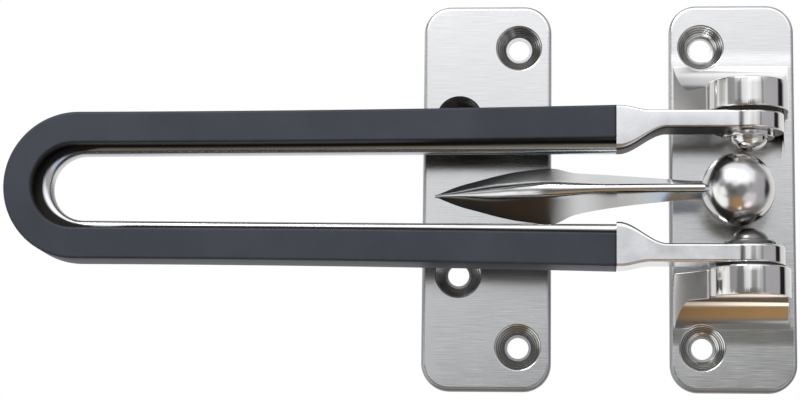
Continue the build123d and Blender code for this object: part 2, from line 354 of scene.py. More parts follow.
def satinSteel(name, rampFoot=None):
    # Fine brush lines across the plates: noise drawn out along X, over wide faint clouds.
    # With a rampFoot, the plate's face dips away from the ramps on both sides of the middle.
    look = satinLook
    material, tree = newMaterial(name)
    lines = noise(tree, coordinates(tree, look["lineScale"]), *look["lineNoise"])
    clouds = noise(tree, coordinates(tree), look["cloudScale"])
    # Painted shade: the eased edges are blended towards the dark edge colour
    edge = named(tree, "edge")
    face = blend(tree, 1.0, tint(tree, lines, look), spread(tree, clouds, *look["stain"]), "MULTIPLY")
    colour = blend(tree, reckon(tree, "MULTIPLY", edge, look["edgeShare"]), face, look["edge"])
    rough = reckon(tree, "ADD", spread(tree, lines, *look["rough"]),
                   spread(tree, clouds, -look["cloudRough"], look["cloudRough"]))
    rough = reckon(tree, "ADD", rough, reckon(tree, "MULTIPLY", edge, look["edgeRough"]))
    below = None
    if rampFoot:
        split = tree.nodes.new("ShaderNodeSeparateXYZ")
        tree.links.new(coordinates(tree), split.inputs["Vector"])
        falls = []
        for side, top in ((1, look["upperRise"]), (-1, 1.0)):
            level = reckon(tree, "MULTIPLY", split.outputs["Z"], side)
            falls.append(spread(tree, level, top, 0.0, *rampFoot, "SMOOTHERSTEP"))
        below = bump(tree, reckon(tree, "ADD", *falls), 1.0, look["footRise"])
    return surface(material, colour, rough, bump(tree, lines, look["lineBump"], look["lineDepth"], below))


def turnedSteel():
    # The countersinks: rings left by the cutter, counted by the distance from the hole's axis
    look = turnedLook
    material, tree = newMaterial("turnedSteel")
    reach = named(tree, "holeReach")
    wobble = noise(tree, coordinates(tree), look["wobbleScale"])
    phase = reckon(tree, "MULTIPLY", reach, 2 * np.pi * look["ringsPerMillimetre"])
    shift = spread(tree, wobble, -look["wobble"], look["wobble"])
    rings = spread(tree, reckon(tree, "SINE", reckon(tree, "ADD", phase, shift)), 0.0, 1.0, -1.0, 1.0)
    # Painted shade: darker at the bore's edge, and all over in a hole that has "shade"
    rim = spread(tree, reach, look["boreShade"], 1.0, *look["boreEdge"])
    lit = reckon(tree, "MULTIPLY", rim, reckon(tree, "SUBTRACT", 1.0, named(tree, "shade")))
    colour = blend(tree, 1.0, tint(tree, rings, look, 0.0, 1.0), lit, "MULTIPLY")
    # The outer edge is broken: its height falls off with the square of the way to the plate's face
    way = spread(tree, reach, 0.0, 1.0, *look["outerEdge"])
    drop = reckon(tree, "MULTIPLY", way, reckon(tree, "MULTIPLY", way, -1.0))
    broken = bump(tree, drop, 1.0, look["edgeDrop"])
    normal = bump(tree, rings, look["ringBump"], look["ringDepth"], broken)
    return surface(material, colour, spread(tree, wobble, *look["rough"]), normal)


def dulledSteel(name, look, cloudDetail=5.0, hairDetail=2.0, shadeRough=0.25, hairDepth=0.02 * mm):
    # Steel with painted shade: an attribute darkens and roughens it in corners, on walls and along creases,
    # and another blends in a painted cool reflection
    material, tree = newMaterial(name)
    clouds = noise(tree, coordinates(tree), look["cloudScale"], cloudDetail)
    hairs = noise(tree, coordinates(tree, look["hairScale"]), 1.0, hairDetail)
    paintedShade = named(tree, "paintedShade")
    clean = tint(tree, clouds, look)
    # A painted cool reflection, blended in where an attribute asks
    if "cool" in look:
        clean = blend(tree, named(tree, "coolReflection"), clean, look["cool"])
    colour = blend(tree, paintedShade, clean, look["paintedShade"])
    rough = reckon(tree, "MULTIPLY", paintedShade, shadeRough)
    rough = reckon(tree, "ADD", spread(tree, clouds, *look["rough"]), rough)
    return surface(material, colour, rough, bump(tree, hairs, look["hairBump"], hairDepth))


def mottledSkin(name, look, metallic):
    # A plain skin, mottled in its colour and its roughness
    material, tree = newMaterial(name)
    mottle = noise(tree, coordinates(tree), look["mottleScale"])
    rough = spread(tree, mottle, *look["rough"])
    return surface(material, tint(tree, mottle, look), rough, metallic=metallic)


def blackRubber():
    # A moulded matte rubber with a fine grain; one attribute paints shade that darkens it, and another paints
    # a sheen that lightens it
    look = rubberLook
    material, tree = newMaterial("blackRubber")
    clouds = noise(tree, coordinates(tree), look["cloudScale"])
    grain = noise(tree, coordinates(tree), *look["grainNoise"])
    sheened = blend(tree, named(tree, "paintedSheen"), tint(tree, clouds, look), look["paintedSheen"])
    colour = blend(tree, named(tree, "paintedShade"), sheened, look["paintedShade"])
    return surface(material, colour, spread(tree, grain, *look["rough"]),
                   bump(tree, grain, look["grainBump"], look["grainDepth"]), 0.0, look["specular"])


satin = satinSteel("satinSteel")
satinByRamps = satinSteel("satinSteelByRamps", satinLook["rampFoot"])
turnedSkin = turnedSteel()
polish = dulledSteel("polishedSteel", polishLook)
buffed = dulledSteel("buffedSteel", buffedLook)
ballSkin = dulledSteel("ballSteel", ballLook)
neckSteel = dulledSteel("neckSteel", neckLook)
screwSkin = mottledSkin("screwSteel", screwLook, 1.0)
rubber = blackRubber()
nylon = mottledSkin("blackNylon", nylonLook, 0.0)
print("materials made")


# Frame plate, door plate and screws

plateSizes = dict(
    front=3.0, easing=0.12, evenEdgeShade=0.2, lowEnd=-18, lowRun=16,
    frameHoles=[(-8.8, 30.0)], doorHoles=[(-44.9, 30.0), (-56.7, 15.65)],
    sinkRadius=4.65, sinkSlack=0.05, sinkSlant=(0.5, 0.9), hiddenShade=0.65,
)


def holeReach(x, z, centres):
    # The distance from the nearest hole's axis, where every hole has its mirror image below
    return np.min([np.hypot(x - centreX, np.abs(z) - centreZ) for centreX, centreZ in centres], axis=0)


def markHoles(piece, centres):
    # Writes the plate's attributes, and finds the faces of its countersinks, which take the turned finish
    sizes, mesh = plateSizes, piece.data
    x, height, z = vertexPlaces(mesh)
    writeValues(mesh, "holeReach", holeReach(x, z, centres))
    # Painted shade: the eased edges of the plate are darker and duller than its face, most of all along its
    # lower end
    lowEnd = smoothStep((sizes["lowEnd"] - z) / sizes["lowRun"])
    eased = np.clip((sizes["front"] - height) / sizes["easing"], 0, 1)
    writeValues(mesh, "edge", eased * between(sizes["evenEdgeShade"], 1, lowEnd))
    mesh.materials.append(turnedSkin)
    middles = faceValues(mesh, "center", 3) / mm
    slant = -faceValues(mesh, "normal", 3)[:, 1]
    least, most = sizes["sinkSlant"]
    sunk = holeReach(middles[:, 0], middles[:, 2], centres) < sizes["sinkRadius"]
    return (sunk & (slant > least) & (slant < most)).astype(int)


drumSizes = dict(
    radius=7.85, hingeHeight=11.2, inner=15.35, outer=21.1, easing=0.3,
    slack=0.01, radiusSlack=0.02, shortest=0.4 * mm, level=0.99,
)


def drumRadius(level):
    # The drum's radius at a level of Z, less where its two rims are eased
    middle = (drumSizes["inner"] + drumSizes["outer"]) / 2
    half = (drumSizes["outer"] - drumSizes["inner"]) / 2
    beyond = np.clip(np.abs(level - middle) - half + drumSizes["easing"], 0, drumSizes["easing"])
    return drumSizes["radius"] - drumSizes["easing"] + np.sqrt(drumSizes["easing"] ** 2 - beyond ** 2)


def finerDrums(mesh, cuts=4):
    # The drums of the lugs are cut finer and brought back to their true radius
    hinge, slack = drumSizes["hingeHeight"], drumSizes["slack"]
    work = bmesh.new()
    work.from_mesh(mesh)

    def polar(vertex):
        # Radius from the hinge axis, height and level of a vertex
        x, y, z = (value / mm for value in vertex.co)
        return np.hypot(x, -y - hinge), -y, abs(z)

    def onDrum(vertex):
        # Whether it lies on a drum's front half, within a little slack
        radius, height, level = polar(vertex)
        between = drumSizes["inner"] - slack < level < drumSizes["outer"] + slack
        onSkin = abs(radius - drumRadius(level)) < drumSizes["radiusSlack"]
        return between and height > hinge - slack and onSkin

    chosen = []
    for edge in work.edges:
        endFace = all(abs(face.normal.z) > drumSizes["level"] for face in edge.link_faces)
        long = edge.calc_length() > drumSizes["shortest"]
        if long and not endFace and all(onDrum(vertex) for vertex in edge.verts):
            chosen.append(edge)
    made = bmesh.ops.subdivide_edges(work, edges=chosen, cuts=cuts, use_grid_fill=True)["geom_inner"]
    for vertex in (item for item in made if isinstance(item, bmesh.types.BMVert)):
        radius, height, level = polar(vertex)
        if height > hinge:
            grow = drumRadius(level) / radius
            vertex.co.x *= grow
            vertex.co.y = -(hinge + (height - hinge) * grow) * mm
    bmesh.ops.triangulate(work, faces=[face for face in work.faces if len(face.verts) > 4])
    work.to_mesh(mesh)
    work.free()


framePlate = mergedCopy("framePlate", "frame_plate", "frame_side", "satin_steel", satinByRamps,
                        finer=finerDrums)
doorPlate = mergedCopy("doorPlate", "door_plate", "door_side", "satin_steel", satin)
mergedCopy("armScrews", "arm_screws", "door_side", "screw_steel", screwSkin)

lugLook = dict(
    proud=0.005, start=14.0, end=27.9, polished=2, above=0.02,
    slopeStart=-15.1, slopeEnd=-8.4, slopeFade=0.5, shadeLevel=(0.25, 0.7), shadePerMillimetre=0.07,
    rampStart=21.2, upperRamp=0.2,
)


def finishFramePlate():
    # Turned countersinks, and the polished finish on what stands proud of the plate between the lug's levels
    look, front, mesh = lugLook, plateSizes["front"], framePlate.data
    sunk = markHoles(framePlate, plateSizes["frameHoles"])
    mesh.materials.append(polish)
    middles = faceValues(mesh, "center", 3) / mm
    level = np.abs(middles[:, 2])
    proud = (-middles[:, 1] > front + look["proud"]) & (level > look["start"]) & (level < look["end"])
    mesh.polygons.foreach_set("material_index", np.where(proud, look["polished"], sunk))
    # Painted shade: the slopes on the door side are darker, most of all beside the drums, and the upper ramp
    # a little
    x, height, z = vertexPlaces(mesh)
    least, most = look["shadeLevel"]
    slope = np.clip(least + look["shadePerMillimetre"] * (x - look["slopeStart"]), least, most)
    slope = slope * (1 - smoothStep((x - look["slopeEnd"]) / look["slopeFade"]))
    upperRamp = look["upperRamp"] * (z > look["rampStart"])
    shadeLevel = np.where(height > front + look["above"], np.maximum(slope, upperRamp), 0.0)
    writeValues(mesh, "paintedShade", shadeLevel)


def finishDoorPlate():
    # Turned countersinks; painted shade makes the upper of the two holes behind the bar the darkest
    mesh = doorPlate.data
    sunk = markHoles(doorPlate, plateSizes["doorHoles"])
    x, height, z = vertexPlaces(mesh)
    holeX, holeZ = plateSizes["doorHoles"][1]
    hidden = np.hypot(x - holeX, z - holeZ) < plateSizes["sinkRadius"] + plateSizes["sinkSlack"]
    writeValues(mesh, "shade", np.where(hidden, plateSizes["hiddenShade"], 0.0))
    mesh.polygons.foreach_set("material_index", sunk)


finishFramePlate()
finishDoorPlate()
print("plates made")


# Swing bar

barSizes = dict(
    reach=145.2, middle=68.7, sleeveEnd=25.7, slotSetback=0.9,
    sleeveOuter=(14.5, 14.95, 15.7), slot=(6.5, 6.85, 7.0),
    coreBack=9.4, coreFront=14.4, coreNose=2.3, lowerNose=1.1, faceEnd=3.6, faceGap=0.1, faceSteps=16,
    sideWall=1.6,
    sleeveInner=(8.3, 8.65, 9.15), sleeveShift=0.7, sleeveFront=17.8, sleeveBack=8.2, sleeveRound=0.5,
    lip=3.2, lipRound=0.3, endSteps=(0, 0.2, 0.5, 0.9), legStart=1.5, legSteps=72, tipSteps=72,
)
tipCentre = barSizes["reach"] - barSizes["sleeveOuter"][0]
slotCentre = tipCentre - barSizes["slotSetback"]
sleeveCentre = tipCentre + barSizes["sleeveShift"]


def legHalf(x, halves, centre):
    # The bow of a leg: the parabola through its half widths at the tip, the middle and the sleeve's end
    stations = (-centre, -barSizes["middle"], -barSizes["sleeveEnd"])
    total = np.zeros_like(x)
    for i in range(3):
        others = [stations[j] for j in range(3) if j != i]
        weight = (x - others[0]) * (x - others[1])
        total = total + halves[i] * weight / ((stations[i] - others[0]) * (stations[i] - others[1]))
    return total


def uRail(halves, centre):
    # The U's line from the upper leg's end round the tip to the lower leg's end, as (X, Z) points
    end = -barSizes["sleeveEnd"]
    legX = np.concatenate([end - np.array(barSizes["endSteps"]),
                           np.linspace(end - barSizes["legStart"], -centre, barSizes["legSteps"])])
    legZ = legHalf(legX, halves, centre)
    angle = np.radians(np.linspace(90, 270, barSizes["tipSteps"] + 1))[1:-1]
    tip = np.stack([-centre + halves[0] * np.cos(angle), halves[0] * np.sin(angle)], axis=1)
    upper = np.stack([legX, legZ], axis=1)
    lower = np.stack([legX, -legZ], axis=1)[::-1]
    return np.concatenate([upper, tip, lower])


def uSweep(name, profile, innerRail, *details):
    # A closed profile carried along the U, with end caps. Its points are (share, step, height): the share of
    # the way from the inner rail to the sleeve's outer rail, and a step in millimetres added to it, outwards.
    # It is one profile for the whole rail, or one for each of its points.
    across = uRail(barSizes["sleeveOuter"], tipCentre) - innerRail
    out = across / np.linalg.norm(across, axis=1)[:, None]
    profile = np.broadcast_to(profile, (len(innerRail), *profile.shape[-2:]))
    share, step, height = np.moveaxis(profile, -1, 0)
    x, z = (innerRail[:, i:i + 1] + across[:, i:i + 1] * share + out[:, i:i + 1] * step for i in (0, 1))
    return sweptPiece(name, x, height, z, "bar", *details)


def onRail(points, share):
    # Points (step, height) of a profile, tied to the inner rail (share 0) or to the outer rail (share 1)
    points = np.asarray(points, float)
    return np.concatenate([np.full((len(points), 1), float(share)), points], axis=1)


def coreProfile(frontNose):
    # The inner rail is the slot's edge; a nose towards it, rounded in front by frontNose, and a square side
    back, front, nose = barSizes["coreBack"], barSizes["coreFront"], barSizes["coreNose"]
    wall = barSizes["sideWall"]
    face = np.linspace(barSizes["faceEnd"], frontNose + barSizes["faceGap"], barSizes["faceSteps"])
    return np.concatenate([
        onRail([(step, front) for step in face], 0),
        onRail(arcPoints((frontNose, front - frontNose), frontNose, 90, 180, 12), 0),
        onRail(arcPoints((nose, back + nose), nose, 180, 270, 12), 0),
        onRail([(-wall, back), (-wall, front)], 1),
    ])


def sleeveProfile():
    # The inner rail is the sleeve's own inner edge; the outer rail is its outer side
    wall, lip, lipRound = barSizes["sideWall"], barSizes["lip"], barSizes["lipRound"]
    back, front, easing = barSizes["sleeveBack"], barSizes["sleeveFront"], barSizes["sleeveRound"]
    coreBack, coreFront = barSizes["coreBack"], barSizes["coreFront"]
    return np.concatenate([
        onRail([(0, coreFront)], 0),
        onRail(arcPoints((easing, front - easing), easing, 180, 90, 6), 0),
        onRail(arcPoints((-easing, front - easing), easing, 90, 0, 6), 1),
        onRail(arcPoints((-easing, back + easing), easing, 0, -90, 6), 1),
        onRail(arcPoints((-wall - lip + lipRound, back + lipRound), lipRound, 270, 180, 4), 1),
        onRail([(-wall - lip, coreBack), (-wall, coreBack), (-wall, coreFront)], 1),
    ])


slotRail = uRail(barSizes["slot"], slotCentre)
sleeveRail = uRail(barSizes["sleeveInner"], sleeveCentre)
# The front of the core's nose is rounder along the upper leg than along the lower, and turns round the tip
upperShare = smoothStep(slotRail[:, 1] / (2 * barSizes["slot"][0]) + 0.5)[:, None, None]
coreProfiles = between(coreProfile(barSizes["lowerNose"]), coreProfile(barSizes["coreNose"]), upperShare)
core = uSweep("barCore", coreProfiles, slotRail, "polished_steel", buffed)
sleeve = uSweep("rubberSleeve", sleeveProfile(), sleeveRail, "black_rubber", rubber, ("rubber_sleeve",))


def insideSleeve(x, z):
    # How far a point lies inside the sleeve's inner wall: along Z on the legs, along the radius round the tip
    leg = legHalf(x, barSizes["sleeveInner"], sleeveCentre) - np.abs(z)
    tip = barSizes["sleeveInner"][0] - np.hypot(x + sleeveCentre, z)
    return np.where(x > -sleeveCentre, leg, tip)


def outsideSlot(x, z):
    # How far a point lies outside the slot's edge, measured in the same way
    leg = np.abs(z) - legHalf(x, barSizes["slot"], slotCentre)
    tip = np.hypot(x + slotCentre, z) - barSizes["slot"][0]
    return np.where(x > -slotCentre, leg, tip)


coreLook = dict(
    corner=0.60, cornerFade=0.4, tipWider=1.15, tipFrom=-126, tipRun=9, lowerWider=0.28, legs=(-125, 5),
    lower=(-5, 3), behind=(11.2, 0.6), line=0.7, lineWidth=(0.12, 0.13), lineLevel=(-1, 4),
    upper=(3.0, 3.0), upperShade=0.15, cool=(13.4, 0.3),
)


def rise(value, span):
    # The S curve from 0 at the span's start to 1 after its length
    start, length = span
    return smoothStep((value - start) / length)


def paintShadeAndReflectionOnCore():
    # Painted shade: dark in the corner under the rubber, wider round the tip, and dark again behind the nose
    look = coreLook
    x, height, z = vertexPlaces(core.data)
    onLower = 1 - rise(z, look["lower"])
    width = (look["corner"] + look["tipWider"] * smoothStep((look["tipFrom"] - x) / look["tipRun"])
             + look["lowerWider"] * onLower * rise(x, look["legs"]))
    corner = 1 - smoothStep((insideSleeve(x, z) - width + look["cornerFade"] / 2) / look["cornerFade"])
    behind = 1 - rise(height, look["behind"])
    # Painted shade: the tip and the lower leg have a dark line along their edge, and the upper leg is darker
    # all over
    nearEdge = 1 - rise(outsideSlot(x, z), look["lineWidth"])
    line = look["line"] * nearEdge * (1 - rise(z, look["lineLevel"]))
    upper = rise(z, look["upper"])
    writeValues(core.data, "paintedShade", np.max([corner, behind, line, look["upperShade"] * upper], axis=0))
    # Painted cool reflection on the front of the upper leg's nose
    writeValues(core.data, "coolReflection", upper * rise(height, look["cool"]))


sleeveLook = dict(wall=(0.05, 0.4), wallTop=0.3, cut=(-0.55, 0.4), paintedSheen=(0.45, 0.3), outside=3.0)


def paintShadeAndSheenOnSleeve():
    # Painted shade on the inner wall and the cut ends; a painted sheen lightens the outer side below the face
    look = sleeveLook
    x, height, z = vertexPlaces(sleeve.data)
    depth = -insideSleeve(x, z)
    below = barSizes["sleeveFront"] - height
    wall = (1 - rise(depth, look["wall"])) * smoothStep(below / look["wallTop"])
    cut = rise(x + barSizes["sleeveEnd"], look["cut"])
    writeValues(sleeve.data, "paintedShade", np.maximum(wall, cut))
    # Painted sheen on the outer side below the face
    writeValues(sleeve.data, "paintedSheen", rise(below, look["paintedSheen"]) * (depth > look["outside"]))


paintShadeAndReflectionOnCore()
paintShadeAndSheenOnSleeve()

neckSizes = dict(
    start=-25.7, shoulder=0.8, taper=6.5, bendEnd=-16.0, eyeRadius=6.8, hingeHeight=11.2,
    eyeInner=11.2, eyeOuter=14.8, back=9.4, front=17.65, easing=0.5, frontRounder=0.5,
    straightSteps=90, straightShare=0.98, roundSteps=60, roundStart=-78.5, leastSquare=0.0004,
)
neckLooks = dict(
    wall=(0.10, 0.35), creep=0.30, eye=(-5.0, 3.0), creaseX=-1.85, creaseShade=0.8, crease=(0.25, 0.2),
    creaseHeight=17.0, polishFrom=-2.15,
)


def roundedBox(lowZ, highZ, lowH, highH, easings, steps=8):
    # One section of a neck as (Z, height) points, with its four corners eased, each by its own radius.
    # An easing stays under half of the section, so that no two corners meet.
    corners = []
    for signZ, signH, start, easing in zip((1, -1, -1, 1), (1, 1, -1, -1), (0, 90, 180, 270), easings):
        reach = np.minimum(easing, 0.49 * np.minimum(highZ - lowZ, highH - lowH))[:, None]
        angle = np.radians(np.linspace(start, start + 90, steps + 1))[None, :]
        centreZ = (highZ[:, None] - reach) if signZ > 0 else (lowZ[:, None] + reach)
        centreH = (highH[:, None] - reach) if signH > 0 else (lowH[:, None] + reach)
        corners.append(np.stack([centreZ + reach * np.cos(angle), centreH + reach * np.sin(angle)], axis=-1))
    return np.concatenate(corners, axis=1)


def neckInner(x):
    # The inner side's distance from the middle: the slot's edge, bent in an S to the eye's inner face
    start = neckSizes["start"] + neckSizes["shoulder"] / 2
    bend = smoothStep((x - start) / (neckSizes["bendEnd"] - start))
    return between(barSizes["slot"][2], neckSizes["eyeInner"], bend)


def neck(name, side):
    # Rounded box sections along X: an S bend away from the slot, then the round end of the hinge eye
    sizes, hinge, radius = neckSizes, neckSizes["hingeHeight"], neckSizes["eyeRadius"]
    straight = np.linspace(sizes["start"], -radius * sizes["straightShare"], sizes["straightSteps"])
    turn = np.radians(np.linspace(sizes["roundStart"], 90, sizes["roundSteps"])[1:])
    x = np.concatenate([straight, radius * np.sin(turn)])
    circle = np.sqrt(np.maximum(radius ** 2 - x ** 2, sizes["leastSquare"]))
    inEye = np.abs(x) < radius
    top = np.where(inEye, hinge + circle, 0)
    top = np.where(x < 0, np.maximum(top, sizes["front"]), top)
    bottom = np.where(inEye, np.minimum(hinge - circle, sizes["back"]), sizes["back"])
    bottom = np.where(x > 0, hinge - circle, bottom)
    taper = smoothStep((x - sizes["start"] - sizes["shoulder"]) / (sizes["taper"] - sizes["shoulder"]))
    outer = between(barSizes["sleeveOuter"][2], sizes["eyeOuter"], taper)
    # Where a neck leaves the core, its inner side is as round as the core's nose
    noseShare = 1 - smoothStep((x - sizes["start"]) / (sizes["bendEnd"] - sizes["start"]))
    even = np.full_like(x, sizes["easing"])
    front = even + sizes["frontRounder"] * noseShare
    back = between(even, barSizes["coreNose"], noseShare)
    section = roundedBox(neckInner(x), outer, bottom, top, (even, front, back, even))
    piece = sweptPiece(name, x[:, None], section[..., 1], side * section[..., 0], "bar", "polished_steel",
                       neckSteel, ("swing_bar",) if side > 0 else ())
    sharpRoundFlats(piece.data)
    return piece


def finishNeck(piece, reach):
    # Painted shade: the wall towards the slot is dark, the dark creeps round its edge, and a dark line runs
    # along the crease before the eye; the eye's round end is polished
    look, mesh = neckLooks, piece.data
    x, height, z = vertexPlaces(mesh)
    depth = np.abs(z) - neckInner(x)
    wall = 1 - rise(depth, look["wall"])
    creep = look["creep"] * (1 - smoothStep(depth / reach))
    beforeEye = 1 - rise(x, look["eye"])
    crease = 1 - rise(np.abs(x - look["creaseX"]), look["crease"])
    crease = look["creaseShade"] * crease * (height > look["creaseHeight"])
    writeValues(mesh, "paintedShade", np.maximum(np.maximum(wall, creep) * beforeEye, crease))
    mesh.materials.append(polish)
    middleX = faceValues(mesh, "center", 3)[:, 0] / mm
    mesh.polygons.foreach_set("material_index", (middleX > look["polishFrom"]).astype(int))


finishNeck(neck("upperNeck", 1), 2.2)
finishNeck(neck("lowerNeck", -1), 0.8)
print("swing bar made")


# Hinge pins and washers

pinSizes = dict(
    radius=2.5, headRadius=5.0, flange=1.0, domeRadius=3.7, domeHeight=2.7, seat=11.15, shankEnd=19.15,
    flangeRound=0.25, washerRadius=6.5, washerThick=0.5, washerGap=0.05, lugInner=15.35,
)


def pinRim(side):
    # Half a pin's outline: the dome towards the ball, the eased flange, its seat on the eye, and the shank
    sizes = pinSizes
    base = sizes["seat"] - sizes["flange"]
    angle = np.radians(np.linspace(0, 90, 25))
    dome = np.stack([sizes["domeRadius"] * np.sin(angle), base - sizes["domeHeight"] * np.cos(angle)], axis=1)
    easing = sizes["flangeRound"]
    rim = np.concatenate([
        dome,
        arcPoints((sizes["headRadius"] - easing, base + easing), easing, -90, 0, 5),
        [(sizes["headRadius"], sizes["seat"]), (sizes["radius"], sizes["seat"]),
         (sizes["radius"], sizes["shankEnd"]), (0, sizes["shankEnd"])],
    ])
    return rim * np.array([1, side])


def washerRim(side):
    # A flat ring round the pin, against the lug's inner face
    high, outer = pinSizes["lugInner"], pinSizes["washerRadius"]
    low, bore = high - pinSizes["washerThick"], pinSizes["radius"] + pinSizes["washerGap"]
    rim = [(bore, low), (outer, low), (outer, high), (bore, high), (bore, low)]
    return np.array(rim) * np.array([1, side])


hingePoint = (0, neckSizes["hingeHeight"], 0)
# Painted shade on both heads, much more on the lower one, which is darker and rougher
for name, side, headShade in (("upper", 1, 0.05), ("lower", -1, 0.8)):
    pin = turned(name + "HingePin", pinRim(side), hingePoint, "Z", "frame_side", "polished_steel", polish,
                 (name + "_hinge_pin",))
    writeValues(pin.data, "paintedShade", np.full(len(pin.data.vertices), headShade))
    turned(name + "Washer", washerRim(side), hingePoint, "Z", "frame_side", "black_nylon", nylon,
           (name + "_washer",))
print("hinge pins and washers made")


# Guard ball and its arm

armSizes = dict(
    plate=3.0, tipReach=61.4, rootReach=38.4, spine=14.9, rootHalf=5.6, tipHalf=0.15, neckHalf=1.85,
    ballRadius=7.15, ballHeight=11.9, ballOffset=2.2, ballSteps=(97, 144),
    nose=0.95, footNose=2.0, tipNose=0.3, noseRun=13.0, noseDegrees=62.0, thinning=(-42.0, 16.0),
    noseSteps=13, flankSteps=9, steps=120,
    foot=((0, 0, -0.05), (0.21, 0.35, 0.15), (0.39, 0.56, 0.30), (0.56, 0.75, 0.45), (0.73, 0.89, 0.61),
          (1, 1, 0.81)),
    neck=((0.13, 0.62, 0.38, 0.3), (0.3, 0.4, 0.72, 0.6), (0.55, 0.16, 0.94, 0.88), (0.78, 0, 1, 1),
          (1, 0, 1, 1)),
)
armLook = dict(foot=(-40.0, 8.0), shadeLevel=0.82, noseShare=0.62, beside=(0.1, 0.4),
               cool=0.6, coolBelow=0.3, coolX=(-22.0, 6.0))


def guardBall():
    # Half a circle turned about the arm's line
    radius = armSizes["ballRadius"]
    ringSteps, turnSteps = armSizes["ballSteps"]
    angle = np.radians(np.linspace(-90, 90, ringSteps))
    rim = radius * np.stack([np.cos(angle), np.sin(angle)], axis=1)
    rim[0, 0] = rim[-1, 0] = 0
    centre = (-armSizes["ballOffset"], armSizes["ballHeight"], 0)
    turned("guardBall", rim, centre, "X", "door_side", "polished_steel", ballSkin, ("guard_ball",),
           steps=turnSteps, sharpAngle=80)


def smoothThrough(x, stationX, stationValue):
    # A smooth line through stations, by cubic pieces whose slopes are limited so that it doesn't overshoot
    step = np.diff(stationX)
    slope = np.diff(stationValue) / step
    tangent = np.zeros(len(stationX))
    same = slope[:-1] * slope[1:] > 0
    total = slope[:-1] + slope[1:]
    tangent[1:-1] = np.where(same, 2 * slope[:-1] * slope[1:] / np.where(same, total, 1), 0)
    tangent[0], tangent[-1] = slope[0], slope[-1]
    place = np.clip(np.searchsorted(stationX, x, side="right") - 1, 0, len(step) - 1)
    share = (x - stationX[place]) / step[place]
    square, cube = share ** 2, share ** 3
    return ((2 * cube - 3 * square + 1) * stationValue[place]
            + (cube - 2 * square + share) * step[place] * tangent[place]
            + (3 * square - 2 * cube) * stationValue[place + 1]
            + (cube - square) * step[place] * tangent[place + 1])


def ballArmStations():
    # Rows of X, half width, back and ridge height, from shares: on the foot of its length, width and height,
    # and on the neck of the way to the ball, the width left to lose, the back's lift and the ridge's rise
    sizes = armSizes
    plate, root, ball, spine = sizes["plate"], sizes["rootReach"], sizes["ballOffset"], sizes["spine"]
    widest, neckBack = sizes["rootHalf"], spine - 2 * sizes["neckHalf"]
    rows = []
    for along, wide, high in sizes["foot"]:
        x, half = between(sizes["tipReach"], root, along), between(sizes["tipHalf"], widest, wide)
        rows.append((x, half, plate, between(plate + sizes["nose"], spine, high)))
    rootSpine = rows[-1][3]
    for along, wide, lift, high in sizes["neck"]:
        x, half = between(root, ball, along), between(sizes["neckHalf"], widest, wide)
        rows.append((x, half, between(plate, neckBack, lift), between(rootSpine, spine, high)))
    return np.array(rows) * np.array([-1, 1, 1, 1])


def ballArm():
    # Roof sections with a rounded ridge, carried from the tip on the plate to the ball
    sizes = armSizes
    table = ballArmStations()
    station, root, steps = table[:, 0], -sizes["rootReach"], sizes["steps"] // 2
    x = np.concatenate([np.linspace(station[0], root, steps), np.linspace(root, station[-1], steps + 1)[1:]])
    half, back, spine = (smoothThrough(x, station, table[:, i]) for i in (1, 2, 3))
    back = np.where(x <= root, sizes["plate"], back)
    # The ridge is sharpest at the tip, widest on the foot and thinner again on the neck
    turn = np.radians(np.linspace(-sizes["noseDegrees"], sizes["noseDegrees"], sizes["noseSteps"]))
    widening = smoothStep((x + sizes["tipReach"]) / sizes["noseRun"])
    nose = between(sizes["tipNose"], sizes["footNose"], widening)
    nose = nose - (sizes["footNose"] - sizes["nose"]) * rise(x, sizes["thinning"])
    noseZ = nose[:, None] * np.sin(turn)
    noseH = (spine - nose)[:, None] + nose[:, None] * np.cos(turn)
    share = np.linspace(0, 1, sizes["flankSteps"])[:-1]
    leftZ = between(-half[:, None], noseZ[:, :1], share)
    leftH = between(back[:, None], noseH[:, :1], share)
    z = np.concatenate([leftZ, noseZ, -leftZ[:, ::-1]], axis=1)
    height = np.concatenate([leftH, noseH, leftH[:, ::-1]], axis=1)
    return sweptPiece("ballArm", x[:, None], height, z, "door_side", "polished_steel", buffed, ("ball_arm",),
                      sharpAngle=40)


def paintShadeAndReflectionOnArm(piece):
    # Painted shade: the flanks of the foot are darker than its ridge, most of all along the plate
    look = armLook
    x, height, z = vertexPlaces(piece.data)
    onFoot = 1 - rise(x, look["foot"])
    nose = armSizes["footNose"] * smoothStep((x + armSizes["tipReach"]) / armSizes["noseRun"])
    beside = rise(np.abs(z) - look["noseShare"] * nose, look["beside"])
    writeValues(piece.data, "paintedShade", look["shadeLevel"] * onFoot * beside)
    # Painted cool reflection on the lower half of the arm, towards the ball
    below = smoothStep(-z / look["coolBelow"])
    writeValues(piece.data, "coolReflection", look["cool"] * below * rise(x, look["coolX"]))


guardBall()
paintShadeAndReflectionOnArm(ballArm())
print("ball and arm made")


# Studio

studio = dict(
    floor=-0.30, floorSide=8.0, floorGrey=(0.82, 0.82, 0.82), floorRough=0.9,
    keyPower=5.0, keySide=0.35, keyPlace=(-0.35, -0.6, 0.6), keyTarget=(-0.04, 0, 0),
    worldLevel=1.0, grey=(0.42, 0.425, 0.435), ripple=0.30, rippleNoise=(3.5, 3.0, 0.5),
)
# The photograph's viewpoint: a long lens a little below the middle, rolled by less than a degree
view = dict(
    lens=109.4, sensor=36.0, nearest=0.01, rollDegrees=-0.70,
    place=(-0.0333, -0.480, -0.0740), ahead=(-0.0726, 0.9858, 0.1514), right=(0.9973, 0.0734, 0),
)
